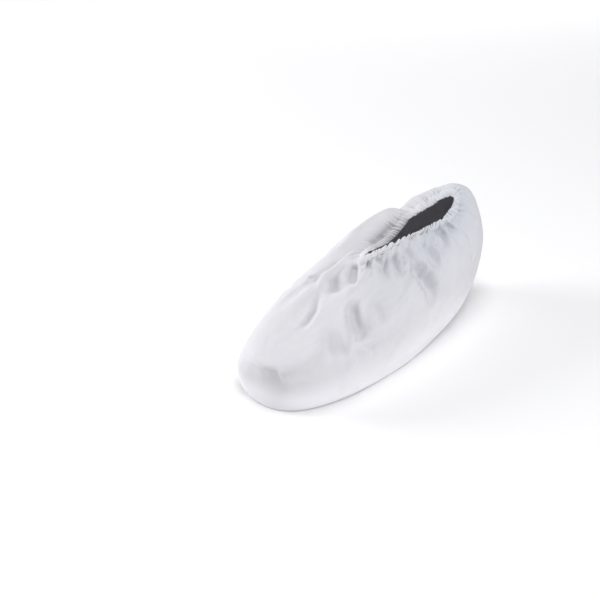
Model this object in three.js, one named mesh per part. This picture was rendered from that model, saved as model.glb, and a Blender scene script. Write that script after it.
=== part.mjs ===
import * as THREE from 'three';

// A disposable non-woven shoe cover, standing in the form it has when pulled on. Millimetres, +Z up.
// The toe points to -Y, the heel to +Y, +X is the outer side of the foot and the sole lies on Z = 0.

// Driving sizes
const clothWall = 1; // single cloth of the upper
const soleThickness = 1.2; // sole sheet, a heavier cloth
const soleEdge = 1.5; // welded edge of the sole sheet outside the upper
const soleSides = 120; // straight sides of the sole's outline
const pieceGap = 0.3; // clearance between neighbouring pieces
const hemWidth = 10; // folded hem round the mouth
const hemLeaf = 0.9; // each of the hem's two leaves
const hemPuff = 1.2; // how far a gather puffs the outer leaf out
const innerLeafFoot = 1; // the inner leaf's edge above the hem's lower edge
const elasticWidth = 4;
const elasticThickness = 0.8;
const elasticRise = 2; // elastic's lower edge above the hem's lower edge
const gathers = 32; // puckers round the mouth
const stepsPerGather = 5;
const upperRows = 10;
const gatherReach = 16; // how fast the fine gathers die out below the hem
const broadDepth = 1.6; // two fine gathers run together into one broader fold
const broadPeak = 28; // where below the hem the broad folds are deepest
const broadReach = 24;
const collarDip = 8; // notch in the inner side's edge where the heel collar begins
const collarDipAngle = 163; // degrees round the foot, as in the table of folds
const collarDipWidth = 9; // half width in degrees
const foldEnd = 0.45; // length of a fold's run-out, in levels
const mouthCrowding = 0.6; // share of its depth that a fold loses where folds crowd at the mouth
const crowdingStart = 3; // levels between which that share grows
const crowdingFull = 5;

const steps = gathers * stepsPerGather;
const fullTurn = 2 * Math.PI;
const seamHeight = soleThickness + pieceGap;
const cloth = new THREE.MeshStandardMaterial({ color: '#e9e9ed', roughness: 0.85, metalness: 0 });
const heavyCloth = new THREE.MeshStandardMaterial({ color: '#eeeef1', roughness: 0.8, metalness: 0 });
const rubber = new THREE.MeshStandardMaterial({ color: '#dcdcd8', roughness: 0.7, metalness: 0 });

function readTable(columns, rows) {
  return rows.map((row) => Object.fromEntries(columns.map((column, k) => [column, row[k]])));
}

// A row for each level of the cover, from the sole seam up to the rim of the mouth.
// toe and heel are its ends along Y, outer and inner its half widths, wide the Y of its widest place.
// A round of 2 makes that end an ellipse and more makes it squarer. Then come the heights at the four
// sides, endSharp, which keeps the toe's and heel's heights closer to those ends, and dip, the share of
// the collar's notch that the level takes.
const levels = readTable(
  ['toe', 'heel', 'outer', 'inner', 'wide', 'toeRound', 'heelRound',
    'zToe', 'zOuter', 'zInner', 'zHeel', 'endSharp', 'dip'],
  [
    [-146, 128, 50, 47, -52, 2.4, 2.1, seamHeight, seamHeight, seamHeight, seamHeight, 2, 0], // sole seam
    [-150, 134, 56, 57, -45, 2.5, 2.0, 8, 8, 8, 8, 2, 0], // turn of the sole edge
    [-149, 145, 57.5, 57, -38, 2.4, 2.1, 27, 32, 30, 36, 2, 0], // widest part of the foot
    [-133, 150.5, 54, 53, -26, 2.2, 2.1, 40, 57, 55, 68, 2, 0], // shoulder of the toe and heel
    [-84, 141, 32, 40, 30, 2.0, 2.3, 60, 78, 87, 104, 2, 0.6], // crest of the instep
    [-14, 130, 18, 32, 56, 2.0, 2.4, 80, 89, 103, 110, 3, 1], // roll into the mouth
    [2, 118, 10, 16, 70, 2.4, 2.6, 91, 95, 88, 105, 3, 0.4], // rim of the mouth
  ],
);

// A row for each main fold: a ridge has a positive depth and a valley a negative one.
// angle is its place at the upper end, 0 at the outer side, 90 heel, 180 inner side, 270 toe. top and
// foot are the levels between which it runs, lean the degrees it swings forward of its top in each
// level that it climbs, and width its half width round the widest part of the foot.
const folds = readTable(
  ['angle', 'top', 'foot', 'lean', 'depth', 'width'],
  [
    [292, 4.9, 2.6, -22, -2.6, 9], // long valley down the front of the outer side
    [300, 4.9, 2.5, -22, 1.8, 10],
    [306, 4.6, 3.0, -26, -1.6, 8],
    [322, 4.6, 3.1, -24, 1.5, 10],
    [342, 4.5, 3.0, -18, -1.2, 9],
    [356, 4.6, 2.5, -13, -2.4, 10], // valley below the middle of the mouth
    [4, 4.5, 2.6, -13, 1.6, 11],
    [22, 4.5, 3.2, -8, -1.3, 9],
    [52, 4.3, 2.4, -4, 1.4, 12],
    [68, 4.2, 2.2, -2, -1.5, 10], // heel folds
    [104, 4.2, 2.4, 2, -1.4, 11],
    [128, 4.4, 2.4, 4, 1.3, 12],
    [150, 4.6, 3.2, 4, -1.6, 11],
    [172, 4.7, 2.6, 8, 1.6, 12],
    [188, 4.6, 2.6, 12, -1.8, 10],
    [206, 4.6, 2.8, 16, 1.5, 11],
    [222, 4.7, 2.8, 20, -1.8, 9],
    [236, 4.6, 3.3, 24, 2.0, 9], // ridge along the vamp
    [252, 4.5, 3.3, 26, -1.8, 9],
    [276, 4.4, 3.2, -10, 1.4, 10],
    [244, 2.9, 1.0, -12, -1.6, 9], // creases of the toe box
    [272, 2.8, 1.2, 0, -1.0, 12],
    [300, 2.8, 1.2, -6, 1.0, 12],
  ],
);

function signedPower(value, power) {
  return Math.sign(value) * Math.abs(value) ** power;
}

// The point of a level at an angle round the foot: an egg with its own toe and heel ends.
function levelPoint(level, angle) {
  const across = Math.cos(angle);
  const along = Math.sin(angle);
  const toToe = along < 0;
  const power = 2 / (toToe ? level.toeRound : level.heelRound);
  const halfWidth = across > 0 ? level.outer : level.inner;
  const reach = toToe ? level.wide - level.toe : level.heel - level.wide;
  const endShare = Math.abs(along) ** level.endSharp;
  const outerShare = (1 + across) / 2;
  const endHeight = toToe ? level.zToe : level.zHeel;
  const sideHeight = level.zOuter * outerShare + level.zInner * (1 - outerShare);
  const fromDip = (THREE.MathUtils.radToDeg(angle) - collarDipAngle) / collarDipWidth;
  const drop = collarDip * level.dip * Math.exp(-fromDip * fromDip);
  return new THREE.Vector3(
    signedPower(across, power) * halfWidth,
    level.wide + signedPower(along, power) * reach,
    endHeight * endShare + sideHeight * (1 - endShare) - drop,
  );
}

const topLevel = levels.length - 1;

// Distance round a level at evenly spaced angles, as shares of its whole length.
function walkRound(level, parts) {
  const walked = [0];
  for (let k = 1; k <= parts; k += 1) {
    const here = levelPoint(level, (fullTurn * k) / parts);
    const before = levelPoint(level, (fullTurn * (k - 1)) / parts);
    walked.push(walked[k - 1] + here.distanceTo(before));
  }
  const length = walked[parts];
  return { shares: walked.map((distance) => distance / length), length };
}

// A turn runs from 0 to 1 round the cover, evenly shared between the rim and the widest level.
const walkParts = 720;
const widest = walkRound(levels[2], walkParts);
const rim = walkRound(levels[topLevel], walkParts);
const turnShares = widest.shares.map((share, k) => (share + rim.shares[k]) / 2);

function turnOfAngle(degrees) {
  const place = (((degrees % 360) + 360) % 360) * (walkParts / 360);
  const k = Math.floor(place);
  return THREE.MathUtils.lerp(turnShares[k], turnShares[k + 1], place - k);
}

function angleOfTurn(turn) {
  const k = turnShares.findIndex((share) => share > turn) - 1;
  const between = (turn - turnShares[k]) / (turnShares[k + 1] - turnShares[k]);
  return (fullTurn * (k + between)) / walkParts;
}

// The cloth's profile from the sole seam to the rim at each step round the cover.
const profiles = [];
for (let i = 0; i < steps; i += 1) {
  const angle = angleOfTurn(i / steps);
  const points = levels.map((level) => levelPoint(level, angle));
  const curve = new THREE.CatmullRomCurve3(points, false, 'catmullrom', 0.5);
  profiles.push({ curve, length: curve.getLength() });
}

function profileAt(i) {
  return profiles[(i + steps) % steps];
}

// A point of the smooth cloth at a distance below the rim, measured along the cloth.
function clothPoint(i, below) {
  const { curve, length } = profileAt(i);
  return curve.getPointAt(THREE.MathUtils.clamp(1 - below / length, 0, 1));
}

// The level, as a row number of the table with fractions, at which the hem begins.
function hemLevel(i) {
  const { curve, length } = profileAt(i);
  return curve.getUtoTmapping(1 - hemWidth / length) * topLevel;
}

function belowOfLevel(i, level) {
  const { curve, length } = profileAt(i);
  const walked = curve.getLengths();
  const place = (level / topLevel) * (walked.length - 1);
  const k = Math.min(Math.floor(place), walked.length - 2);
  return length - THREE.MathUtils.lerp(walked[k], walked[k + 1], place - k);
}

// The smooth cloth's outward direction, for a row given as a distance below the rim at each step.
function clothNormal(i, belowAt) {
  const probe = 1.5;
  const roundward = clothPoint(i + 1, belowAt(i + 1)).sub(clothPoint(i - 1, belowAt(i - 1)));
  const upward = clothPoint(i, belowAt(i) - probe).sub(clothPoint(i, belowAt(i) + probe));
  return roundward.cross(upward).normalize();
}

function foldDepth(turn, level) {
  let depth = 0;
  for (const fold of folds) {
    const centre = turnOfAngle(fold.angle + fold.lean * (level - fold.top));
    let offset = Math.abs(turn - centre);
    offset = Math.min(offset, 1 - offset) * (widest.length / fold.width);
    const fadeIn = THREE.MathUtils.smoothstep(level, fold.foot - foldEnd, fold.foot + foldEnd);
    const fadeOut = 1 - THREE.MathUtils.smoothstep(level, fold.top - foldEnd, fold.top + foldEnd);
    depth += fold.depth * Math.exp(-offset * offset) * fadeIn * fadeOut;
  }
  return depth * (1 - mouthCrowding * THREE.MathUtils.smoothstep(level, crowdingStart, crowdingFull));
}

// How far a gather puffs the cloth, from 0 in a pucker to 1 on its crest.
function puff(turn) {
  return (1 + Math.cos(fullTurn * gathers * turn)) / 2;
}

function gatherDepth(turn, belowHem) {
  const fine = hemPuff * puff(turn) * Math.exp(-belowHem / gatherReach);
  const spread = (belowHem - broadPeak) / broadReach;
  const broad = broadDepth * Math.sin((fullTurn * gathers * turn) / 2) * Math.exp(-spread * spread);
  const hemHold = THREE.MathUtils.smoothstep(belowHem, 0, broadPeak);
  return fine + broad * hemHold;
}

// Joins closed sections, one for each step round the cover, into one ring-shaped solid.
function ringSolid(sections) {
  const count = sections[0].length;
  const positions = sections.flatMap((section) => section.flatMap((point) => point.toArray()));
  const corners = [];
  for (let i = 0; i < sections.length; i += 1) {
    const next = (i + 1) % sections.length;
    for (let j = 0; j < count; j += 1) {
      const above = (j + 1) % count;
      corners.push(i * count + j, next * count + j, next * count + above);
      corners.push(i * count + j, next * count + above, i * count + above);
    }
  }
  const geometry = new THREE.BufferGeometry();
  geometry.setAttribute('position', new THREE.Float32BufferAttribute(positions, 3));
  geometry.setIndex(corners);
  geometry.computeVertexNormals();
  return geometry;
}

// Upper: one wall of cloth from the sole seam to the hem, with its folds and gathers.
function upperSection(i) {
  const turn = i / steps;
  const outside = [];
  const inside = [];
  for (let row = 0; row <= upperRows; row += 1) {
    const levelOf = (k) => (hemLevel(k) * row) / upperRows;
    const belowAt = (k) => belowOfLevel(k, levelOf(k));
    const below = belowAt(i);
    const normal = clothNormal(i, belowAt);
    const lift = foldDepth(turn, levelOf(i)) + gatherDepth(turn, below - hemWidth);
    const point = clothPoint(i, below).addScaledVector(normal, lift);
    outside.push(point);
    inside.unshift(point.clone().addScaledVector(normal, -clothWall));
  }
  return [...outside, ...inside];
}

// A point beside the cloth of the hem: rise above the hem's lower edge, and depth out of the cloth.
function hemPoint(i, rise, depth) {
  const belowAt = () => hemWidth - rise;
  return clothPoint(i, hemWidth - rise).addScaledVector(clothNormal(i, belowAt), depth);
}

// Hem: the cloth turned over into two leaves with the elastic between them, open along its lower edge.
// Depths are counted from the smooth cloth, outwards positive; a gather swells the leaves apart.
function hemSection(i) {
  const swell = hemPuff * puff(i / steps);
  const bellySwell = swell * 1.2;
  const shoulderSwell = swell * 0.8;
  const innerSwell = swell * 0.5;
  const elasticRoom = elasticThickness + 2 * pieceGap;
  const foldDepthAtTop = -hemLeaf - elasticRoom / 2;
  const innerLeaf = -hemLeaf - elasticRoom - innerSwell;
  const middle = hemWidth / 2;
  const shoulder = hemWidth - 2 * hemLeaf;
  const roof = shoulder - hemLeaf;
  return [
    hemPoint(i, pieceGap, swell),
    hemPoint(i, middle, bellySwell),
    hemPoint(i, shoulder, shoulderSwell),
    hemPoint(i, hemWidth, foldDepthAtTop),
    hemPoint(i, shoulder, innerLeaf - hemLeaf),
    hemPoint(i, innerLeafFoot, innerLeaf - hemLeaf),
    hemPoint(i, innerLeafFoot, innerLeaf),
    hemPoint(i, roof, innerLeaf),
    hemPoint(i, roof, shoulderSwell - hemLeaf),
    hemPoint(i, pieceGap, swell - hemLeaf),
  ];
}

// Elastic: a plain flat loop inside the hem.
function elasticSection(i) {
  const outerFace = -hemLeaf - pieceGap;
  const innerFace = outerFace - elasticThickness;
  return [
    hemPoint(i, elasticRise, outerFace),
    hemPoint(i, elasticRise + elasticWidth, outerFace),
    hemPoint(i, elasticRise + elasticWidth, innerFace),
    hemPoint(i, elasticRise, innerFace),
  ];
}

// Sole: a flat sheet whose edge stands a little outside the upper.
function soleGeometry() {
  const smallTurn = 0.01;
  const outline = [];
  for (let k = 0; k < soleSides; k += 1) {
    const angle = (fullTurn * k) / soleSides;
    const here = levelPoint(levels[0], angle);
    const ahead = levelPoint(levels[0], angle + smallTurn);
    const round = ahead.sub(levelPoint(levels[0], angle - smallTurn)).normalize();
    outline.push(new THREE.Vector2(here.x + round.y * soleEdge, here.y - round.x * soleEdge));
  }
  return new THREE.ExtrudeGeometry(new THREE.Shape(outline), { depth: soleThickness, bevelEnabled: false });
}

function eachStep(section) {
  return ringSolid(Array.from({ length: steps }, (_, i) => section(i)));
}

const shoeCover = new THREE.Group();

function addPiece(name, geometry, material) {
  const piece = new THREE.Mesh(geometry, material);
  piece.name = name;
  shoeCover.add(piece);
}

addPiece('upper', eachStep(upperSection), cloth);
addPiece('hem', eachStep(hemSection), cloth);
addPiece('elastic', eachStep(elasticSection), rubber);
addPiece('sole', soleGeometry(), heavyCloth);

export default shoeCover;
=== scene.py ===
import math

import bpy
import numpy as np
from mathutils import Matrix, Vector


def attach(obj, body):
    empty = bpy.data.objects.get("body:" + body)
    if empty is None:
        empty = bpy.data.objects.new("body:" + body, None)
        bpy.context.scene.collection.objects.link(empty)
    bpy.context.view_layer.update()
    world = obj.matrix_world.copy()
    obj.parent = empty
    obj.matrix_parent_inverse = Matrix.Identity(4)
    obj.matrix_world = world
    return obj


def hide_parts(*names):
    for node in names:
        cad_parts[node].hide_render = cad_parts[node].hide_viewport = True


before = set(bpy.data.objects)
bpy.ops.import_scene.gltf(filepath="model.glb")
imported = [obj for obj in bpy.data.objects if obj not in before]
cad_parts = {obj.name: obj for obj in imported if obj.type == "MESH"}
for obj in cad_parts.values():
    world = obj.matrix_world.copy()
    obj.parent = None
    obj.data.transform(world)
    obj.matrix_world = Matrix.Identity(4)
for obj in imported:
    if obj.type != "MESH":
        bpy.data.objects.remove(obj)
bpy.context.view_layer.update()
scene = bpy.context.scene
mm = 0.001
print("frame loaded:", sorted(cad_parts))


# camera: above the toe, on the outer side

cameraSet = {
    "azimuth": 43,
    "elevation": 30,
    "distance": 1.272,
    "lens": 82.8,
    "sensor": 36,
    "clipStart": 0.05,
    "aim": (0, 0, 0.032),          # this point of the cover...
    "aimPixel": (371.5, 308.2),    # ...lands here in the picture
    "picture": 600,                # pixels across and down
    "pixelsPerMetre": 1085,
}


def placeCamera():
    turn = math.radians(cameraSet["azimuth"])
    lift = math.radians(cameraSet["elevation"])
    back = Vector((math.sin(turn) * math.cos(lift), -math.cos(turn) * math.cos(lift), math.sin(lift)))
    right = Vector((math.cos(turn), math.sin(turn), 0))
    up = back.cross(right)
    middle = cameraSet["picture"] / 2
    across = (cameraSet["aimPixel"][0] - middle) / cameraSet["pixelsPerMetre"]
    above = (middle - cameraSet["aimPixel"][1]) / cameraSet["pixelsPerMetre"]
    look = Vector(cameraSet["aim"]) - right * across - up * above
    lens = bpy.data.cameras.new("camera")
    lens.lens = cameraSet["lens"]
    lens.sensor_width = cameraSet["sensor"]
    lens.clip_start = cameraSet["clipStart"]
    camera = bpy.data.objects.new("camera", lens)
    scene.collection.objects.link(camera)
    camera.location = look + back * cameraSet["distance"]
    camera.rotation_euler = (-back).to_track_quat("-Z", "Y").to_euler()
    scene.camera = camera


placeCamera()
print("camera placed")


# plain pale floor and soft studio light

studioSet = {
    "floorSize": 7.0,
    "floorColour": "#FBFBFB",
    "floorRoughness": 0.9,
    "skyColour": "#FAFAFF",
    "skyStrength": 0.32,
    # name, place, point lit, size, power, spread in degrees
    "lamps": [
        ("overhead", (0.12, 0.08, 1.5), (0, 0, 0.03), 1.1, 13.0, 180),
        ("leftPanel", (-1.22, -0.70, 0.50), (0, -0.03, 0.05), 0.8, 14.5, 180),
        ("rightPanel", (1.40, -0.15, 0.28), (0, 0, 0.03), 0.6, 7.5, 180),
        ("farFloor", (-1.50, 2.05, 1.5), (-1.50, 2.05, 0), 1.6, 40.0, 100),    # keeps off the cover
    ],
}


def linearColour(hexText):
    parts = [int(hexText[i:i + 2], 16) / 255 for i in (1, 3, 5)]
    return tuple(c / 12.92 if c <= 0.04045 else ((c + 0.055) / 1.055) ** 2.4 for c in parts) + (1.0,)


def addNode(material, kind, links=(), **settings):
    # links: (socket of this node, other node, its output)
    # settings: a property of the node, or in_ and the name or number of an input
    node = material.node_tree.nodes.new(kind)
    for name, value in settings.items():
        if name.startswith("in_"):
            socket = name[3:].replace("_", " ")
            node.inputs[int(socket) if socket.isdigit() else socket].default_value = value
        else:
            setattr(node, name, value)
    for socket, other, output in links:
        material.node_tree.links.new(other.outputs[output], node.inputs[socket])
    return node


def newMaterial(name):
    material = bpy.data.materials.new(name)
    material.use_nodes = True
    material.node_tree.nodes.clear()
    return material


def setStudio():
    world = bpy.data.worlds.new("studio")
    world.use_nodes = True
    scene.world = world
    sky = world.node_tree.nodes["Background"]
    sky.inputs["Color"].default_value = linearColour(studioSet["skyColour"])
    sky.inputs["Strength"].default_value = studioSet["skyStrength"]
    for name, place, aim, size, power, spread in studioSet["lamps"]:
        lamp = bpy.data.lights.new(name, "AREA")
        lamp.shape = "DISK"
        lamp.size = size
        lamp.energy = power
        lamp.spread = math.radians(spread)
        holder = bpy.data.objects.new(name, lamp)
        scene.collection.objects.link(holder)
        holder.location = place
        holder.rotation_euler = (Vector(aim) - Vector(place)).to_track_quat("-Z", "Y").to_euler()
    paper = newMaterial("matt white studio paper")     # plain, no gloss
    surface = addNode(paper, "ShaderNodeBsdfPrincipled", in_Roughness=studioSet["floorRoughness"],
                      in_Base_Color=linearColour(studioSet["floorColour"]))
    addNode(paper, "ShaderNodeOutputMaterial", [("Surface", surface, "BSDF")])
    bpy.ops.object.select_all(action="DESELECT")
    bpy.ops.mesh.primitive_plane_add(size=studioSet["floorSize"], location=(0, 0, 0))
    floor = bpy.context.object
    floor.name = "floor"
    floor.data.materials.append(paper)
    scene.view_settings.view_transform = "Standard"


setStudio()
print("studio set")


# materials

clothSet = {
    "colour": "#D6D5D9",
    "thinColour": "#D2D1D6",       # where the web of fibres is thinner and a little greyer
    "bounceLightColour": "#E9E8EC",     # painted light bounced up from the floor: whiter along the sole seam, and higher on the outer side
    "hemColour": "#D9D8DC",        # turned over, so a little whiter, and so is the sole sheet
    "foldShadeColour": "#CCCBD0",      # painted shade, darker where a fold is pressed in deep
    "heelShadeColour": "#C3C7CE",      # painted shade, a bluish grey, over the heel and the top of the outer side
    "cloudSize": 9 * mm,           # cloudiness of the fibre web
    "fibreSize": 1.1 * mm,         # real fibres are about 0.02 mm: drawn coarse so that the web shows
    "bondPitch": 2.6 * mm,         # bond points are about 1 to 2 mm apart: drawn a little coarser
    "bumpDepth": 0.15 * mm,
    "bump": 0.2,
    "roughness": 0.78,
    "sheen": 0.08,
}


def makeNonWoven(name, colour, thinColour):
    # spunbond polypropylene: a matt felt of fine fibres, pressed together at a lattice of small points
    # a colour mix has its two colours at sockets 6 and 7, and its result at output 2
    material = newMaterial(name)
    place = addNode(material, "ShaderNodeTexCoord")
    turned = addNode(material, "ShaderNodeMapping", [("Vector", place, "UV")],
                     in_Rotation=(0, 0, math.radians(45)))
    cloud = addNode(material, "ShaderNodeTexNoise", [("Vector", place, "UV")],
                    in_Scale=1 / clothSet["cloudSize"], in_Detail=4.0, in_Roughness=0.6)
    fibre = addNode(material, "ShaderNodeTexNoise", [("Vector", turned, "Vector")],
                    in_Scale=1 / clothSet["fibreSize"], in_Detail=3.0, in_Roughness=0.7)
    bond = addNode(material, "ShaderNodeTexVoronoi", [("Vector", turned, "Vector")],
                   in_Scale=1 / clothSet["bondPitch"], in_Randomness=0.0)
    dimple = addNode(material, "ShaderNodeMapRange", [("Value", bond, "Distance")],
                     interpolation_type="SMOOTHSTEP", in_From_Min=0.12, in_From_Max=0.38)
    blotch = addNode(material, "ShaderNodeMapRange", [("Value", cloud, "Fac")],
                     in_From_Min=0.35, in_From_Max=0.65)
    tint = addNode(material, "ShaderNodeMix", [("Factor", blotch, "Result")], data_type="RGBA",
                   in_6=linearColour(thinColour), in_7=linearColour(colour))
    # painted light bounced up from the floor, whiter low down
    bounceLight = addNode(material, "ShaderNodeAttribute", attribute_name="bounceLight")
    shade = addNode(material, "ShaderNodeMix", [("Factor", bounceLight, "Fac"), (6, tint, 2)], data_type="RGBA",
                    in_7=linearColour(clothSet["bounceLightColour"]))
    # painted shade in the folds: greyer the deeper a fold is pressed in
    foldShade = addNode(material, "ShaderNodeAttribute", attribute_name="foldShade")
    creased = addNode(material, "ShaderNodeMapRange", [("Value", foldShade, "Fac")],
                      interpolation_type="SMOOTHSTEP", in_From_Min=0.2, in_From_Max=0.6)
    tone = addNode(material, "ShaderNodeMix", [("Factor", creased, "Result"), (6, shade, 2)],
                   data_type="RGBA", in_7=linearColour(clothSet["foldShadeColour"]))
    # painted shade, greyer over the heel and the top of the outer side; the attribute drawn holds it
    drawn = addNode(material, "ShaderNodeAttribute", attribute_name="drawn")
    cover = addNode(material, "ShaderNodeMix", [("Factor", drawn, "Fac"), (6, tone, 2)], data_type="RGBA",
                    in_7=linearColour(clothSet["heelShadeColour"]))
    height = addNode(material, "ShaderNodeMath", [(0, fibre, "Fac"), (1, dimple, "Result")], operation="ADD")
    bump = addNode(material, "ShaderNodeBump", [("Height", height, "Value")],
                   in_Strength=clothSet["bump"], in_Distance=clothSet["bumpDepth"])
    surface = addNode(material, "ShaderNodeBsdfPrincipled",
                      [("Base Color", cover, 2), ("Normal", bump, "Normal")],
                      in_Roughness=clothSet["roughness"], in_IOR=1.49,
                      in_Sheen_Weight=clothSet["sheen"], in_Sheen_Roughness=0.5)
    addNode(material, "ShaderNodeOutputMaterial", [("Surface", surface, "BSDF")])
    return material


upperCloth = makeNonWoven("white spunbond non-woven", clothSet["colour"], clothSet["thinColour"])
hemCloth = makeNonWoven("white spunbond hem", clothSet["hemColour"], clothSet["colour"])
soleCloth = makeNonWoven("white spunbond sole sheet", clothSet["hemColour"], clothSet["colour"])


rubberSet = {
    "colour": "#D9D8D0",
    "ribPitch": 1.2 * mm,
    "ribDepth": 0.1 * mm,
    "bump": 0.4,
    "roughness": 0.6,
}


def makeElasticRubber():
    # flat latex braid: dull, off-white, with a fine lengthwise rib
    material = newMaterial("off-white braided elastic")
    place = addNode(material, "ShaderNodeTexCoord")
    rib = addNode(material, "ShaderNodeTexWave", [("Vector", place, "UV")],
                  bands_direction="Y", in_Scale=1 / rubberSet["ribPitch"])
    bump = addNode(material, "ShaderNodeBump", [("Height", rib, "Fac")],
                   in_Strength=rubberSet["bump"], in_Distance=rubberSet["ribDepth"])
    surface = addNode(material, "ShaderNodeBsdfPrincipled", [("Normal", bump, "Normal")],
                      in_Base_Color=linearColour(rubberSet["colour"]),
                      in_Roughness=rubberSet["roughness"], in_IOR=1.52)
    addNode(material, "ShaderNodeOutputMaterial", [("Surface", surface, "BSDF")])
    return material


elasticRubber = makeElasticRubber()
print("materials made")


# the form of the cover: rings from the sole seam up to the rim, sizes in mm
# angle 0 is the outer side, 90 the heel, 180 the inner side and 270 the toe

levelColumns = ("toe", "heel", "outer", "inner", "wide", "toeRound", "inRound", "heelRound",
                "zToe", "zOuter", "zInner", "zHeel", "endSharp", "dip", "drop")
wornLevels = [
    (-148.5, 127, 53.5, 50.5, -26, 2.55, 2.0, 1.6, 1, 1, 1, 1, 2, 0, 0),          # sole seam
    (-149.5, 132, 54.5, 53, -49.5, 2.4, 2.9, 2.05, 8, 8, 8, 8, 2, 0, 0),          # turn of the sole edge
    (-149, 145, 56, 53.5, -34, 2.65, 2.85, 2.15, 28, 32, 30, 36, 2, 0, 0),        # widest part
    (-144, 150, 53, 57, -26, 2.7, 1.65, 2.2, 45.5, 57, 55, 68, 2, 0, 0),          # shoulder
    (-84, 139, 32, 40.5, 30, 2.0, 2.2, 2.3, 61, 78, 87, 104, 2, 0.6, 0),          # crest of the instep
    (-26, 124, 18, 35.5, 54, 2.0, 2.0, 2.4, 78, 89, 101.5, 113.5, 3, 1, 0),       # roll into the mouth
    (-13, 116, 10.5, 17, 70, 1.15, 1.25, 2.2, 91.5, 94.5, 93.5, 105, 3, 0, 1),    # rim
]
slackLevels = wornLevels[:2] + [                # the same bag before it is gathered
    (-149, 145, 56.5, 54, -34, 2.65, 2.85, 2.15, 28, 32, 30, 36, 2, 0, 0),
    (-145, 151, 57, 58, -26, 2.7, 1.75, 2.2, 46, 58, 55, 68, 2, 0, 0),
    (-88, 152, 58, 57, 10, 2.1, 2.1, 2.3, 66, 88, 90, 105, 2, 0, 0),
    (-26, 152, 58, 57, 48, 2.1, 2.1, 2.3, 100, 106, 108, 117.5, 2, 0, 0),
    (-14, 152, 58, 57, 60, 2.2, 2.2, 2.4, 114, 116, 130, 130.5, 2, 0, 0),
]
# low places of the collar in mm and degrees: a notch on the inner side, and the rim's inner front end
collarDips = {"dip": (8, 163, 9), "drop": (11.5, 212, 26)}


def bellAt(degrees, middle, width):
    # 1 at the middle angle, falling to 0 either side
    away = (degrees - middle + 180) % 360 - 180
    return np.exp(-(away / width) ** 2)


def levelRing(level, angles):
    size = dict(zip(levelColumns, level))
    across, along = np.cos(angles), np.sin(angles)
    toeHalf = along < 0
    power = 2 / np.where(toeHalf, np.where(across > 0, size["toeRound"], size["inRound"]), size["heelRound"])
    half = np.where(across > 0, size["outer"], size["inner"])
    reach = np.where(toeHalf, size["wide"] - size["toe"], size["heel"] - size["wide"])
    end = np.abs(along) ** size["endSharp"]
    outward = (1 + across) / 2
    z = np.where(toeHalf, size["zToe"], size["zHeel"]) * end
    z = z + (size["zOuter"] * outward + size["zInner"] * (1 - outward)) * (1 - end)
    for name, (depth, middle, width) in collarDips.items():
        z = z - depth * size[name] * bellAt(np.degrees(angles), middle, width)
    x = np.sign(across) * np.abs(across) ** power * half
    y = size["wide"] + np.sign(along) * np.abs(along) ** power * reach
    return np.stack([x, y, z], -1) * mm


def curveThrough(rings, t):
    # smooth curve up through the rings; t counts rings, one row of t for each row of points
    low = np.clip(np.floor(t).astype(int), 0, len(rings) - 2)
    part = (t - low)[..., None]
    column = np.arange(rings.shape[1])
    ends = np.concatenate([2 * rings[:1] - rings[1:2], rings, 2 * rings[-1:] - rings[-2:-1]])
    a, b, c, d = [ends[low + i, column] for i in range(4)]
    square = 2 * a - 5 * b + 4 * c - d
    cube = 3 * b - a - 3 * c + d
    return 0.5 * (2 * b + (c - a) * part + square * part ** 2 + cube * part ** 3)


def evenAngles(count):
    # angles that share the length round the rim and round the widest part evenly
    fine = np.linspace(0, 2 * math.pi, 2881)      # an eighth of a degree apart
    share = 0
    for level in (wornLevels[2], wornLevels[-1]):
        steps = np.linalg.norm(np.diff(levelRing(level, fine), axis=0), axis=1)
        run = np.concatenate([[0], np.cumsum(steps)])
        share = share + run / run[-1] / 2
    return np.interp(np.arange(count) / count, share, fine)


def ringsOf(levels, angles):
    return np.stack([levelRing(level, angles) for level in levels])


def topLevel(levels, angles, below):
    # the level that lies this far below the rim, measured over the cloth
    rings = ringsOf(levels, angles)
    steps = 80 * (len(levels) - 1)                # 80 to a level
    t = np.linspace(0, len(levels) - 1, steps + 1)[:, None] * np.ones(len(angles))
    lengths = np.linalg.norm(np.diff(curveThrough(rings, t), axis=0), axis=2)
    run = np.concatenate([np.zeros((1, len(angles))), np.cumsum(lengths, axis=0)])
    left = run[-1] - run
    return np.array([np.interp(-below, -left[:, i], t[:, i]) for i in range(len(angles))])


def sheetRows(levels, angles, top, rows):
    t = np.linspace(0, 1, rows)[:, None] * top
    return curveThrough(ringsOf(levels, angles), t)


def outwardNormals(grid):
    around = np.roll(grid, -1, 1) - np.roll(grid, 1, 1)
    upward = np.gradient(grid, axis=0)
    normal = np.cross(around, upward)
    return normal / np.linalg.norm(normal, axis=-1, keepdims=True)


def ringFaces(rows, count):
    row = np.arange(rows - 1)[:, None] * count
    here = np.arange(count)[None]
    after = (here + 1) % count
    return np.stack([row + here, row + after, row + count + after, row + count + here], -1).reshape(-1, 4)


def clothUv(grid):
    # u runs round the cloth and v up it, both in metres over the cloth
    rows, count = grid.shape[:2]
    middle = grid[rows // 2]
    around = np.linalg.norm(np.roll(middle, -1, 0) - middle, axis=1)
    u = np.concatenate([[0], np.cumsum(around)])
    steps = np.linalg.norm(np.diff(grid, axis=0), axis=2).mean(1)
    v = np.concatenate([[0], np.cumsum(steps)])
    return u, v


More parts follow.
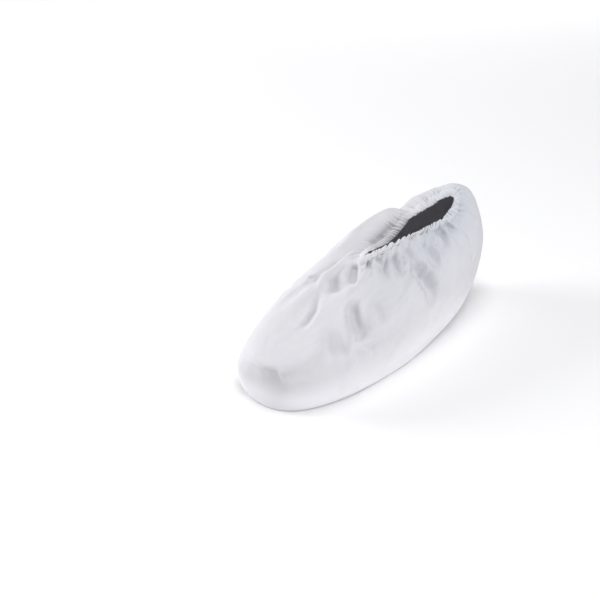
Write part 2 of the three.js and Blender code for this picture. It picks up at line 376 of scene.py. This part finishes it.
def meshFromGrid(name, grid, flatGrid=None):
    rows, count = grid.shape[:2]
    mesh = bpy.data.meshes.new(name)
    mesh.from_pydata(grid.reshape(-1, 3).tolist(), [], ringFaces(rows, count).tolist())
    u, v = clothUv(grid if flatGrid is None else flatGrid)
    uv = np.empty((rows - 1, count, 4, 2))
    uv[..., 0, 0] = uv[..., 3, 0] = u[:-1]
    uv[..., 1, 0] = uv[..., 2, 0] = u[1:]
    uv[..., 0, 1] = uv[..., 1, 1] = v[:-1, None]
    uv[..., 2, 1] = uv[..., 3, 1] = v[1:, None]
    layer = mesh.uv_layers.new(name="cloth")
    layer.data.foreach_set("uv", uv.reshape(-1))
    mesh.polygons.foreach_set("use_smooth", [True] * len(mesh.polygons))
    mesh.update()
    piece = bpy.data.objects.new(name, mesh)
    scene.collection.objects.link(piece)
    return piece


def setShare(piece, name, values):
    # one number for each point, read by the material
    layer = piece.data.attributes.new(name, "FLOAT", "POINT")
    layer.data.foreach_set("value", values.reshape(-1))


def thicken(piece, thickness):
    wall = piece.modifiers.new("wall", "SOLIDIFY")
    wall.thickness = thickness
    wall.offset = 0
    wall.use_even_offset = False
    bpy.ops.object.select_all(action="DESELECT")
    piece.select_set(True)
    bpy.context.view_layer.objects.active = piece
    bpy.ops.object.modifier_apply(modifier=wall.name)


# the gathers of the elastic, used by the upper's top edge, the hem and the elastic

gatherSet = {
    "gathers": 58,         # small puffs along the rim
    "depth": 0.45,         # mm, sideways waves of the rim
    "pleats": 23,          # larger folds that start under the hem
    "pleatDepth": 2.2,     # mm
    "pleatShift": 0.37,    # so that pleats and puffs don't keep step
    "puffShare": 0.6,      # of the rim's waves, still felt under the hem
    "hemWidth": 8,         # mm
    "pinch": 0.5,          # mm that the cloth is drawn in under the hem
    # less at the heel, the inner side and the front: by how much, angle and width in degrees
    "less": [(0.65, 90, 35), (0.5, 195, 60), (0.7, 262, 30)],
    # uneven in width, then in depth: by how much, how often round the mouth, and where that begins
    "sway": [(0.80, 5, 0.2), (0.45, 13, 0.6), (0.20, 29, 0)],
    "swell": [(0.35, 7, 0.3), (0.35, 17, 0)],
    "roundness": 0.9,      # power: the lower, the rounder the puffs and the sharper the pinches
}


def ripple(turn, count, start, shift):
    return np.sin(2 * math.pi * (count * turn + start + shift))


def unevenWave(turn, count, shift):
    # rounded puffs with sharp pinches between, uneven in width and depth; from -1 to about 1
    phase = count * turn
    for share, times, start in gatherSet["sway"]:
        phase = phase + share * ripple(turn, times, start, shift)
    size = 1
    for share, times, start in gatherSet["swell"]:
        size = size + share * ripple(turn, times, start, shift)
    return size * (2 * np.abs(np.sin(math.pi * phase)) ** gatherSet["roundness"] - 1)


def lessAt(angles, places):
    # 1 all round, and less by its share at each place
    share = 1
    for less, middle, width in places:
        share = share - less * bellAt(np.degrees(angles), middle, width)
    return share


def rimWave(turn, angles):
    wave = unevenWave(turn, gatherSet["gathers"], 0)
    return wave * gatherSet["depth"] * mm * lessAt(angles, gatherSet["less"])


def pinchWave(turn, angles):
    wave = unevenWave(turn, gatherSet["pleats"], gatherSet["pleatShift"])
    pleat = wave * gatherSet["pleatDepth"] * mm * lessAt(angles, gatherSet["less"])
    return pleat + gatherSet["puffShare"] * rimWave(turn, angles) - gatherSet["pinch"] * mm


# upper: the slack bag is drawn in at its top edge and falls round a smooth last

upperSet = {
    "around": 300,             # columns and rows of the simulated sheet
    "rows": 56,
    "fineAround": 450,         # and of the finished one
    "fineRows": 84,
    "scale": 10,               # the cloth solver works best on metre sizes
    "closingFrames": 28,
    "settlingFrames": 14,
    "quality": 6,
    "weight": 0.3,
    "stretch": 15,
    "shear": 5,
    "bending": 2.0,
    "damping": 5,
    "gravity": 0.15,
    "contactGap": 0.006,       # at the solver's scale
    "contactQuality": 3,
    # loose cloth is mostly on the outer side: less over the toe, the inner side and the heel
    "slackLess": [(0.8, 262, 42), (0.55, 180, 55), (0.4, 90, 35)],
    "softening": 4,            # passes that soften the settled folds
    "mostMoved": 3.0,          # mm that the settled cloth may leave the smooth form
    "calmMoved": 1.2,          # mm, the same over the rolled collar and the instep
    "calmAt": [(175, 55, 3.6), (285, 45, 2.2)],    # angle, width and the level where each begins
    "edgeHold": 40,            # power: the higher, the nearer to the hem the top edge is held
    "foldShadeDepth": 4.5,         # mm of fold depth against which the painted fold shade is measured
    "bounceFrom": 8,           # mm above the seam from which the painted floor light fades out
    "bounceTo": 26,
    "bounceMore": 44,          # mm that it reaches higher on the outer side, at this angle and width
    "bounceAt": (15, 45),
    "heelShadeFrom": 2.4,          # level from which the painted heel shade begins...
    "heelShadeOver": 2.6,          # ...and levels until it is full
    "heelShadeAt": (45, 75),       # angle and width
    "thickness": 0.5 * mm,
    "flat": (0.22, 0.69),      # m, the strip that the upper is cut from
}

# the last that the cloth falls on, taken away once it has settled
lastSet = {
    "around": 160,
    "rows": 48,
    "inset": 1.2,              # mm inside the cloth's smooth form
    "belowRim": 2,             # mm
    "lowest": 1,               # mm above the floor
    "lidSize": 0.5,            # share of the mouth, and how far it is sunk in mm
    "lidDrop": 4,
    "outerGap": 0.005,         # at the solver's scale
    "innerGap": 0.1,
    "friction": 20,
}

# folds: path from top to foot as (angle, level), depth inwards in mm, half-widths in mm to the left and
# to the right as seen from outside, and the shares of the path over which it fades in and out
foldColumns = ("path", "depth", "left", "right", "fadeIn", "fadeOut")
mainFolds = [
    # hollow under the mouth's front, and the long one below it
    ([(258, 5.28), (269, 5.08), (286, 4.8), (299, 4.5)], 4.5, 6, 2.5, 0.2, 0.4),
    ([(310, 4.12), (323, 3.66), (337, 3.22), (346, 2.55)], 5.5, 5, 7, 0.25, 0.4),
    # deep hollow of the outer side, and two faint ones before it
    ([(351, 4.35), (4, 3.72), (13, 3.15), (18, 2.2)], 9.5, 9, 5, 0.3, 0.5),
    ([(332, 3.88), (348, 3.35), (356.5, 2.78)], 2.6, 5, 6, 0.3, 0.5),
    ([(302, 3.82), (317.5, 3.38), (328.5, 2.9), (330, 2.52)], 2.8, 9, 10, 0.4, 0.4),
    # dent, ridge and crease of the instep
    ([(251, 4.65), (263, 4.6), (280, 4.45)], 3.2, 6, 6, 0.3, 0.4),
    ([(236, 4.5), (248, 4.42), (257.5, 4.32)], -2.6, 3, 4, 0.3, 0.4),
    ([(254, 4.38), (270.5, 4.1), (275.5, 3.82), (275.5, 3.58)], 2.2, 2.5, 3.5, 0.3, 0.5),
    # small ridges where the inner side meets the instep
    ([(221, 3.95), (240, 4.32)], -2.0, 3, 3, 0.4, 0.4),
    ([(245, 4.92), (245.5, 4.68), (247, 4.48)], -1.8, 3, 3, 0.3, 0.3),
    # puff of the inner collar
    ([(178, 5.47), (196, 5.45), (214, 5.43), (232, 5.4)], -3.0, 6, 6, 0.4, 0.4),
    # fold of the toe's front
    ([(279, 2.85), (280.5, 2.25), (283.5, 1.5)], 2.8, 8, 6, 0.3, 0.6),
]
gatherFolds = [        # from the front of the mouth round the outer side to the heel, then the inner side
    ([(284.5, 5.55), (295, 5.1), (313.5, 4.58)], 3.0, 2.5, 3, 0.3, 0.5),
    ([(296, 5.7), (306, 5.2), (325.5, 4.58), (341.5, 3.9)], 4.5, 3, 4, 0.2, 0.6),
    ([(309.5, 5.28), (320.5, 4.9), (329.5, 4.55)], 3.0, 2.5, 3, 0.3, 0.5),
    ([(317, 5.38), (331.5, 4.78), (341.5, 4.25), (352, 3.75)], 5.0, 3.2, 4.5, 0.2, 0.6),
    ([(334, 4.9), (341, 4.62), (346.5, 4.35)], 3.0, 2.5, 2.5, 0.3, 0.4),
    ([(332, 5.28), (343, 4.88), (351.5, 4.4), (0, 3.95)], 4.5, 3, 4, 0.2, 0.6),
    ([(353, 5.15), (1, 4.53), (9, 3.82), (16.5, 3.36)], 5.0, 3.2, 5, 0.2, 0.6),
    ([(1, 5.05), (6.5, 4.58), (12.5, 4.18)], 3.0, 2.5, 3, 0.3, 0.4),
    ([(6, 5.5), (12, 4.82), (17, 3.98), (24, 3.48)], 4.5, 3.5, 5, 0.2, 0.6),
    ([(23, 5.18), (25, 4.42), (28.5, 3.85)], 3.0, 3, 4, 0.2, 0.5),
    ([(33, 5.2), (37, 4.6), (41, 3.9)], 2.0, 4, 5, 0.2, 0.6),
    ([(205, 4.6), (203, 4.1), (200, 3.4)], 1.6, 4, 4, 0.3, 0.6),
    ([(150, 4.5), (147, 4.0), (143, 3.2)], 1.6, 4, 5, 0.3, 0.6),
    ([(172, 4.5), (171, 3.9), (170, 3.0)], 1.4, 4, 5, 0.3, 0.6),
]

foldSet = {
    "steps": 6,                # of a fold's line, for each point of its path
    "reach": 4,                # half-widths from its line, beyond which it isn't felt
    "mainFlare": 0.4,          # how much wider a fold is at its foot
    "gatherFlare": 0.8,
    "creaseFlare": 0.3,
    "floor": 3.4,              # power: the higher, the flatter its floor and the sharper its edges
    "lip": 0.25,               # height, place and width of the cloth that stands up beside it
    "lipAt": 1.8,
    "lipWidth": 0.7,
    "startDepth": 0.1,         # a little of the depth is there at once
    "endDepth": 0.05,
}

# short shallow creases all over, as on any thin stiff cloth that has been folded flat in a packet
creaseSet = {
    "count": 70,
    "seed": 11,
    "turn": (-35, 235),        # angle and level of the upper end, kept off the toe
    "height": (1.2, 4.4),
    "lean": (-14, 14),         # degrees, then levels, to the lower end
    "drop": (0.3, 0.9),
    "depth": (0.7, 1.7),       # mm
    "hollows": 0.65,           # share of them, the others are ridges
    "width": (2.2, 5.5),       # mm
    "bow": (-3, 3),            # degrees
    "uneven": (0.6, 2.0),      # width of one side to that of the other
    "fadeIn": 0.4,
    "fadeOut": 0.6,
}


def foldLine(path):
    turns = np.degrees(np.unwrap(np.radians([p[0] for p in path])))
    heights = np.array([p[1] for p in path], float)
    fine = np.linspace(0, len(path) - 1, foldSet["steps"] * len(path))
    turns = np.interp(fine, np.arange(len(path)), turns)
    heights = np.interp(fine, np.arange(len(path)), heights)
    return curveThrough(ringsOf(wornLevels, np.radians(turns)), heights[None])[0]


def eased(share):
    share = np.clip(share, 0, 1)
    return share * share * (3 - 2 * share)


def foldDepths(smooth, folds, flare):
    # how far the cloth moves along its own normal
    normal = outwardNormals(smooth)
    moved = np.zeros(smooth.shape[:2])
    for row in folds:
        fold = dict(zip(foldColumns, row))
        line = foldLine(fold["path"])
        reach = foldSet["reach"] * max(fold["left"], fold["right"]) * mm
        near = ((smooth > line.min(0) - reach) & (smooth < line.max(0) + reach)).all(-1)
        spots, facing = smooth[near], normal[near]
        nearest = np.full(len(spots), 1e9)
        side, along, past = [np.zeros(len(spots)) for i in range(3)]
        for i in range(len(line) - 1):
            step = line[i + 1] - line[i]
            length = np.linalg.norm(step)
            run = (spots - line[i]) @ step / length
            part = np.clip(run, 0, length)
            gap = spots - line[i] - part[:, None] * step / length
            distance = np.linalg.norm(gap, axis=-1)
            closer = distance < nearest
            nearest = np.where(closer, distance, nearest)
            side = np.where(closer, (np.cross(step, facing) * gap).sum(-1), side)
            along = np.where(closer, (i + part / length) / (len(line) - 1), along)
            beyond = np.maximum(-run if i == 0 else 0, run - length if i == len(line) - 2 else 0)
            past = np.where(closer, np.maximum(beyond, 0), past)
        width = np.where(side > 0, fold["left"], fold["right"]) * mm * (1 + flare * (along - 0.5))
        across = np.sqrt(np.maximum(nearest ** 2 - past ** 2, 0))
        away = np.hypot(across / width, past / (min(fold["left"], fold["right"]) * mm))
        fade = eased(foldSet["startDepth"] + along / fold["fadeIn"])
        fade = fade * eased(foldSet["endDepth"] + (1 - along) / fold["fadeOut"])
        lip = foldSet["lip"] * np.exp(-((away - foldSet["lipAt"]) / foldSet["lipWidth"]) ** 2)
        hollow = np.exp(-away ** foldSet["floor"]) - lip
        moved[near] -= fold["depth"] * mm * fade * hollow
    return moved


def smallCreases():
    chance = np.random.default_rng(creaseSet["seed"])
    rows = []
    for number in range(creaseSet["count"]):
        turn, height = chance.uniform(*creaseSet["turn"]), chance.uniform(*creaseSet["height"])
        lean, drop = chance.uniform(*creaseSet["lean"]), chance.uniform(*creaseSet["drop"])
        depth = chance.uniform(*creaseSet["depth"]) * (1 if chance.random() < creaseSet["hollows"] else -1)
        left = chance.uniform(*creaseSet["width"])
        middle = turn + lean / 2 + chance.uniform(*creaseSet["bow"])
        right = left * chance.uniform(*creaseSet["uneven"])
        path = [(turn, height), (middle, height - drop / 2), (turn + lean, height - drop)]
        rows.append((path, depth, left, right, creaseSet["fadeIn"], creaseSet["fadeOut"]))
    return rows


def calmed(grid, smooth, angles, levels):
    # softens the settled folds and keeps them near the form
    move = grid - smooth
    for i in range(upperSet["softening"]):
        move = (np.roll(move, 1, 1) + 2 * move + np.roll(move, -1, 1)) / 4
        move[1:-1] = (move[:-2] + 2 * move[1:-1] + move[2:]) / 4
    calm = 0
    for middle, width, above in upperSet["calmAt"]:
        calm = calm + bellAt(np.degrees(angles), middle, width) * np.clip(levels - above, 0, 1)
    calm = np.clip(calm, 0, 1)
    most = (upperSet["mostMoved"] * (1 - calm) + upperSet["calmMoved"] * calm) * mm
    size = np.linalg.norm(move, axis=-1) + 1e-9
    return smooth + move * (most * np.tanh(size / most) / size)[..., None]


def makeLast(scale):
    angles = evenAngles(lastSet["around"])
    top = topLevel(wornLevels, angles, lastSet["belowRim"] * mm)
    rows = sheetRows(wornLevels, angles, top, lastSet["rows"])
    rows = rows - outwardNormals(rows) * lastSet["inset"] * mm
    rows[..., 2] = np.maximum(rows[..., 2], lastSet["lowest"] * mm)
    share = lastSet["lidSize"]
    lid = rows[-1:] * share + rows[-1:].mean(1, keepdims=True) * (1 - share)
    lid = lid - np.array([0, 0, lastSet["lidDrop"] * mm])
    last = meshFromGrid("last", np.concatenate([rows, lid]) * scale)
    last.modifiers.new("solid", "COLLISION")
    last.collision.thickness_outer = lastSet["outerGap"]
    last.collision.thickness_inner = lastSet["innerGap"]
    last.collision.cloth_friction = lastSet["friction"]
    return last


def gatherUpper(slack, worn):
    # the sole seam is held, and the top edge is drawn from the slack bag to the gathered line
    scale = upperSet["scale"]
    rows, count = slack.shape[:2]
    bag = meshFromGrid("slackBag", slack * scale)
    bag.shape_key_add(name="slack")
    drawn = bag.shape_key_add(name="worn")
    drawn.data.foreach_set("co", (worn * scale).reshape(-1).astype(np.float32))
    drawn.value = 0
    drawn.keyframe_insert("value", frame=1)
    drawn.value = 1
    drawn.keyframe_insert("value", frame=upperSet["closingFrames"])
    held = bag.vertex_groups.new(name="held")
    held.add(list(range(count)) + list(range(count * (rows - 1), count * rows)), 1.0, "REPLACE")
    last = makeLast(scale)
    cloth = bag.modifiers.new("cloth", "CLOTH")
    fabric = cloth.settings
    fabric.quality = upperSet["quality"]
    fabric.mass = upperSet["weight"]
    fabric.tension_stiffness = fabric.compression_stiffness = upperSet["stretch"]
    fabric.shear_stiffness = upperSet["shear"]
    fabric.bending_stiffness = upperSet["bending"]
    fabric.tension_damping = fabric.compression_damping = fabric.shear_damping = upperSet["damping"]
    fabric.vertex_group_mass = held.name
    fabric.pin_stiffness = 1
    fabric.effector_weights.gravity = upperSet["gravity"]
    cloth.collision_settings.distance_min = upperSet["contactGap"]
    cloth.collision_settings.collision_quality = upperSet["contactQuality"]
    frames = upperSet["closingFrames"] + upperSet["settlingFrames"]
    cloth.point_cache.frame_start = 1
    cloth.point_cache.frame_end = frames
    scene.frame_end = frames
    for number in range(1, frames + 1):
        scene.frame_set(number)
    settled = bag.evaluated_get(bpy.context.evaluated_depsgraph_get())
    spots = np.empty(rows * count * 3, np.float32)
    settled.data.vertices.foreach_get("co", spots)
    grid = spots.astype(float).reshape(rows, count, 3) / scale
    for helper in (bag, last):
        mesh = helper.data
        bpy.data.objects.remove(helper)
        bpy.data.meshes.remove(mesh)
    scene.frame_set(1)
    return grid


def turnOf(angles):
    # how far round the cloth each angle lies, from 0 to 1
    steps = 720
    at = np.concatenate([evenAngles(steps), [2 * math.pi]])
    return np.interp(angles % (2 * math.pi), at, np.linspace(0, 1, steps + 1))


def finer(grid, rows, count):
    # smooth curves through the points, first up the cloth and then round it
    grid = curveThrough(grid, np.linspace(0, len(grid) - 1, rows)[:, None] * np.ones(grid.shape[1]))
    around = np.concatenate([grid[:, -2:], grid, grid[:, :3]], 1).transpose(1, 0, 2)
    at = 2 + np.arange(count) * grid.shape[1] / count
    return curveThrough(around, at[:, None] * np.ones(rows)).transpose(1, 0, 2)


pleatSet = {
    "outerAt": (350, 60),      # angle and width of the side where they are long and lean to the heel
    "lean": 0.66,              # degrees for each mm below the hem
    "short": 6.5,              # mm, on the other side
    "long": 18,                # mm
    "uneven": 0.45,            # share by which their lengths differ
    "beats": [(11, 0.15), (3, 0.4)],    # how often round the mouth, and where that begins
    "fade": 1.6,               # power: the higher, the more sudden their end
    "blend": 8,                # mm over which the settled cloth joins the hem
}


def pleatEdge(grid, smooth, angles):
    # pleats that run out of the hem
    steps = np.linalg.norm(np.diff(smooth[::-1], axis=0), axis=2)
    below = np.concatenate([np.zeros((1, len(angles))), np.cumsum(steps, axis=0)])[::-1]
    outerSide = bellAt(np.degrees(angles), *pleatSet["outerAt"])
    lean = np.radians(pleatSet["lean"]) * outerSide * below / mm
    wave = pinchWave(turnOf(angles - lean), angles - lean)
    turn = turnOf(angles)
    uneven = pleatSet["uneven"]
    for times, start in pleatSet["beats"]:
        uneven = uneven * ripple(turn, times, start, 0)
    length = (pleatSet["short"] + (pleatSet["long"] - pleatSet["short"]) * outerSide) * (1 + uneven) * mm
    share = np.exp(-(below / (pleatSet["blend"] * mm)) ** 2)[..., None]
    pleats = outwardNormals(smooth) * (wave * np.exp(-(below / length) ** pleatSet["fade"]))[..., None]
    return grid * (1 - share) + smooth * share + pleats


def bounceLightShare(smooth, angles):
    # how much painted floor light the cloth takes: whitest at the sole seam, reaching higher on the outer
    # side
    steps = np.linalg.norm(np.diff(smooth, axis=0), axis=2)
    height = np.concatenate([np.zeros((1, len(angles))), np.cumsum(steps, axis=0)]) / mm
    top = upperSet["bounceTo"] + upperSet["bounceMore"] * bellAt(np.degrees(angles), *upperSet["bounceAt"])
    return 1 - eased((height - upperSet["bounceFrom"]) / (top - upperSet["bounceFrom"]))


def heelShadeShare(angles, levels):
    # how much painted shade the cloth takes over the heel and along the top of the outer side
    upward = eased((levels - upperSet["heelShadeFrom"]) / upperSet["heelShadeOver"])
    return upward * bellAt(np.degrees(angles), *upperSet["heelShadeAt"])


def makeUpper():
    count, rows = upperSet["around"], upperSet["rows"]
    hemWidth = gatherSet["hemWidth"] * mm
    angles = evenAngles(count)
    top = topLevel(wornLevels, angles, hemWidth)
    smooth = sheetRows(wornLevels, angles, top, rows)
    slack = sheetRows(slackLevels, angles, topLevel(slackLevels, angles, hemWidth), rows)
    slack = smooth + (slack - smooth) * lessAt(angles, upperSet["slackLess"])[:, None]
    worn = smooth.copy()
    worn[-1] += outwardNormals(smooth)[-1] * pinchWave(turnOf(angles), angles)[:, None]
    grid = gatherUpper(slack, worn)
    grid = calmed(grid, smooth, angles, np.linspace(0, 1, rows)[:, None] * top)

    count, rows = upperSet["fineAround"], upperSet["fineRows"]
    grid = finer(grid, rows, count)
    angles = evenAngles(count)
    top = topLevel(wornLevels, angles, hemWidth)
    upward = np.linspace(0, 1, rows)[:, None]
    smooth = sheetRows(wornLevels, angles, top, rows)
    grid = pleatEdge(grid, smooth, angles)
    topEdge = grid[-1].copy()
    pressed = foldDepths(smooth, mainFolds, foldSet["mainFlare"])
    pressed = pressed + foldDepths(smooth, gatherFolds, foldSet["gatherFlare"])
    moved = pressed + foldDepths(smooth, smallCreases(), foldSet["creaseFlare"])
    grid = grid + outwardNormals(smooth) * moved[..., None]
    hold = upward[..., None] ** upperSet["edgeHold"]
    grid = grid * (1 - hold) + topEdge * hold             # the top edge stays in line with the hem

    upper = meshFromGrid("upperSheet", grid, finer(slack, rows, count))
    upper.data.materials.append(upperCloth)
    # painted floor light: whiter low down and on the outer side
    setShare(upper, "bounceLight", bounceLightShare(smooth, angles))
    # painted shade in the folds, by how deep they are pressed in
    setShare(upper, "foldShade", np.clip(-pressed / (upperSet["foldShadeDepth"] * mm), 0, 1))
    # painted shade over the heel and the top of the outer side, kept in the attribute drawn
    setShare(upper, "drawn", heelShadeShare(angles, upward * top))
    thicken(upper, upperSet["thickness"])
    return upper, grid


upperSheet, upperGrid = makeUpper()
print("upper gathered:", len(upperSheet.data.polygons), "faces")


# hem: the cloth turned over the elastic, gathered into small puffs

hemSet = {
    "around": 696,            # 12 for each puff
    "rows": 10,
    "foldRows": 5,
    "halfAt": (0, 0.3, 0.7, 1),    # shares of the hem's width...
    "half": (0.1, 0.7, 0.7, 0.4),  # ...and half the space between the leaves there, in mm
    "puff": 0.5,              # mm
    "evenPuff": 0.8,          # how much of a puff is everywhere, and how much comes and goes
    "unevenPuff": 0.25,
    "scallop": 1.1,           # mm, up and down along the rim
    "heelShadeLevel": 4.2,        # level of the upper whose painted heel shade it takes
    "thickness": 0.4 * mm,
}


def makeHem():
    count = hemSet["around"]
    angles = evenAngles(count)
    turn = np.arange(count) / count
    top = topLevel(wornLevels, angles, gatherSet["hemWidth"] * mm)
    share = np.linspace(0, 1, hemSet["rows"])[:, None]
    rings = ringsOf(wornLevels, angles)
    middle = curveThrough(rings, top + (len(wornLevels) - 1 - top) * share)
    normal = outwardNormals(middle)
    rim = rimWave(turn, angles)
    small = rim / (gatherSet["depth"] * mm)
    fade = (1 - share) ** 2
    move = pinchWave(turn, angles) * fade + rim * (1 - fade)
    puff = hemSet["evenPuff"] + hemSet["unevenPuff"] * small
    move = move + hemSet["puff"] * mm * np.sin(math.pi * share) * puff
    middle = middle + normal * move[..., None]
    middle[..., 2] += share ** 3 * hemSet["scallop"] * mm * small
    half = np.interp(share[:, 0], hemSet["halfAt"], hemSet["half"])[:, None] * mm * np.ones(count)
    outer = middle + normal * half[..., None]
    inner = middle - normal * half[..., None]
    up = middle[-1] - middle[-2]
    up = up / np.linalg.norm(up, axis=-1, keepdims=True)
    bends = [math.pi * i / (hemSet["foldRows"] + 1) for i in range(1, hemSet["foldRows"] + 1)]
    over = [middle[-1] + (normal[-1] * math.cos(a) + up * math.sin(a)) * half[-1][:, None] for a in bends]
    grid = np.concatenate([outer, np.array(over), inner[::-1]])
    hem = meshFromGrid("hemCasing", grid)
    hem.data.materials.append(hemCloth)
    # painted shade over the heel and the outer side, as on the upper
    setShare(hem, "drawn", heelShadeShare(angles, np.full((len(grid), 1), hemSet["heelShadeLevel"])))
    thicken(hem, hemSet["thickness"])
    return hem, middle


hemCasing, hemMiddle = makeHem()
print("hem made:", len(hemCasing.data.polygons), "faces")


# elastic: a flat loop inside the hem, out of sight

elasticSet = {
    "from": 3,                # rows of the hem's middle that it covers
    "to": 7,
    "every": 3,               # columns of the hem to one of its own
    "thickness": 0.5 * mm,
}


def makeElastic():
    grid = hemMiddle[elasticSet["from"]:elasticSet["to"] + 1, ::elasticSet["every"]]
    band = meshFromGrid("elasticLoop", grid)
    band.data.materials.append(elasticRubber)
    thicken(band, elasticSet["thickness"])
    return band


elasticLoop = makeElastic()
print("elastic made:", len(elasticLoop.data.polygons), "faces")


# sole: one flat sheet, out to its seam with the upper

soleSet = {
    "around": 240,
    "rings": 14,
    "spine": (-100, 90),      # mm, ends of the middle line that the rings close on
    "height": 0.6,            # mm above the floor, to the middle of the sheet
    "join": 0.3 * mm,         # points nearer than this become one
    "thickness": 0.8 * mm,
    "flat": (0.11, 0.29),     # m
}


def makeSole():
    angles = evenAngles(soleSet["around"])
    seam = levelRing(wornLevels[0], angles)
    spine = np.array(seam)
    spine[:, 0] = 0
    spine[:, 1] = np.clip(spine[:, 1], soleSet["spine"][0] * mm, soleSet["spine"][1] * mm)
    grid = []
    for share in np.linspace(1, 0, soleSet["rings"]):
        ring = spine + (seam - spine) * share
        ring[:, 2] = soleSet["height"] * mm
        grid.append(ring)
    sole = meshFromGrid("soleSheet", np.array(grid))
    sole.data.materials.append(soleCloth)
    bpy.ops.object.select_all(action="DESELECT")
    sole.select_set(True)
    bpy.context.view_layer.objects.active = sole
    bpy.ops.object.mode_set(mode="EDIT")
    bpy.ops.mesh.select_all(action="SELECT")
    bpy.ops.mesh.remove_doubles(threshold=soleSet["join"])
    bpy.ops.object.mode_set(mode="OBJECT")
    thicken(sole, soleSet["thickness"])
    return sole


soleSheet = makeSole()
print("sole made:", len(soleSheet.data.polygons), "faces")


def area(grid):
    across = np.roll(grid, -1, 1)[:-1] - grid[:-1]
    up = grid[1:] - grid[:-1]
    return float(np.linalg.norm(np.cross(across, up), axis=-1).sum())


# every piece rides on the one body and takes the place of its solid

for piece, node, slot in ((upperSheet, "upper", "upper_cloth"), (hemCasing, "hem", "hem_cloth"),
                          (soleSheet, "sole", "sole_cloth"), (elasticLoop, "elastic", "elastic")):
    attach(piece, "root")
    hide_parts(node)
print("cloth area in square metres:", round(area(upperGrid), 4))
